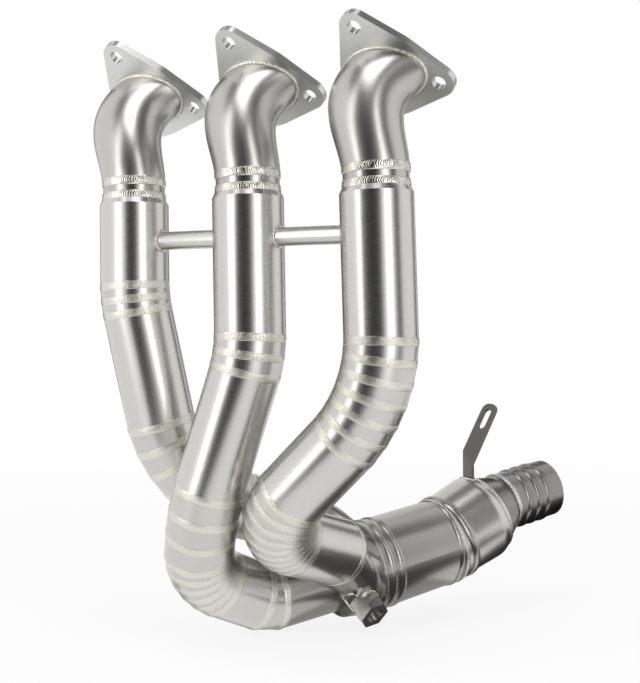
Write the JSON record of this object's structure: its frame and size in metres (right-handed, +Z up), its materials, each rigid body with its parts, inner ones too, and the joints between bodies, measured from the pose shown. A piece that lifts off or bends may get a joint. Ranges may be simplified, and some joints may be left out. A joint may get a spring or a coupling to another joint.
{
  "type": "motorcycle exhaust header",
  "caption": "Welded titanium exhaust header: port flanges, pie-cut primary pipes with balance tubes, a merge collector, an offset outlet and a slotted hanger.",
  "frame": {"origin": "centre of the middle exhaust port on the gasket face of its flange", "axes": "+X along the row of ports, +Y rearward, +Z up"},
  "size_m": [0.2458, 0.2767, 0.3685],
  "materials": {
    "balance_tube": "brushed titanium",
    "collar": "turned titanium, satin",
    "collector": "brushed titanium, darker and warmer",
    "formed_stub": "formed titanium, satin",
    "hanger_bracket": "bent titanium strip, satin",
    "machined_flange": "machined titanium, fine mill marks",
    "merge_collector": "brushed titanium, darker",
    "outlet_tube": "brushed titanium, darker",
    "pie_cut": "brushed titanium with bright weld bands",
    "primary_tube": "brushed titanium",
    "reducer_cone": "brushed titanium, darker",
    "sensor_bung": "turned titanium, bright"
  },
  "bodies": {
    "root": {"centre_balance_tube": "balance_tube", "centre_collar": "collar", "centre_lower_pie_cut_1": "pie_cut", "centre_lower_pie_cut_2": "pie_cut", "centre_lower_pie_cut_3": "pie_cut", "centre_lower_pie_cut_4": "pie_cut", "centre_lower_pie_cut_5": "pie_cut", "centre_lower_pie_cut_6": "pie_cut", "centre_lower_pie_cut_7": "pie_cut", "centre_lower_pie_cut_8": "pie_cut", "centre_lower_tube": "primary_tube", "centre_merge_pie_cut": "pie_cut", "centre_middle_tube": "primary_tube", "centre_port_flange": "machined_flange", "centre_port_stub": "formed_stub", "centre_upper_pie_cut_1": "pie_cut", "centre_upper_pie_cut_2": "pie_cut", "centre_upper_tube": "primary_tube", "collector_shell": "collector", "collector_tube": "collector", "hanger_bracket": "hanger_bracket", "lambda_bung": "sensor_bung", "left_balance_tube": "balance_tube", "left_collar": "collar", "left_lower_pie_cut_1": "pie_cut", "left_lower_pie_cut_2": "pie_cut", "left_lower_pie_cut_3": "pie_cut", "left_lower_pie_cut_4": "pie_cut", "left_lower_pie_cut_5": "pie_cut", "left_lower_pie_cut_6": "pie_cut", "left_lower_tube": "primary_tube", "left_middle_tube": "primary_tube", "left_port_flange": "machined_flange", "left_port_stub": "formed_stub", "left_upper_pie_cut_1": "pie_cut", "left_upper_pie_cut_2": "pie_cut", "left_upper_tube": "primary_tube", "merge_collector": "merge_collector", "outlet_tube": "outlet_tube", "reducer_cone": "reducer_cone", "right_collar": "collar", "right_lower_pie_cut_1": "pie_cut", "right_lower_pie_cut_2": "pie_cut", "right_lower_pie_cut_3": "pie_cut", "right_lower_pie_cut_4": "pie_cut", "right_lower_pie_cut_5": "pie_cut", "right_lower_pie_cut_6": "pie_cut", "right_lower_pie_cut_7": "pie_cut", "right_lower_pie_cut_8": "pie_cut", "right_lower_tube": "primary_tube", "right_middle_tube": "primary_tube", "right_port_flange": "machined_flange", "right_port_stub": "formed_stub", "right_upper_pie_cut_1": "pie_cut", "right_upper_pie_cut_2": "pie_cut", "right_upper_pie_cut_3": "pie_cut", "right_upper_pie_cut_4": "pie_cut", "right_upper_pie_cut_5": "pie_cut", "right_upper_pie_cut_6": "pie_cut", "right_upper_tube": "primary_tube"}
  },
  "joints": []
}
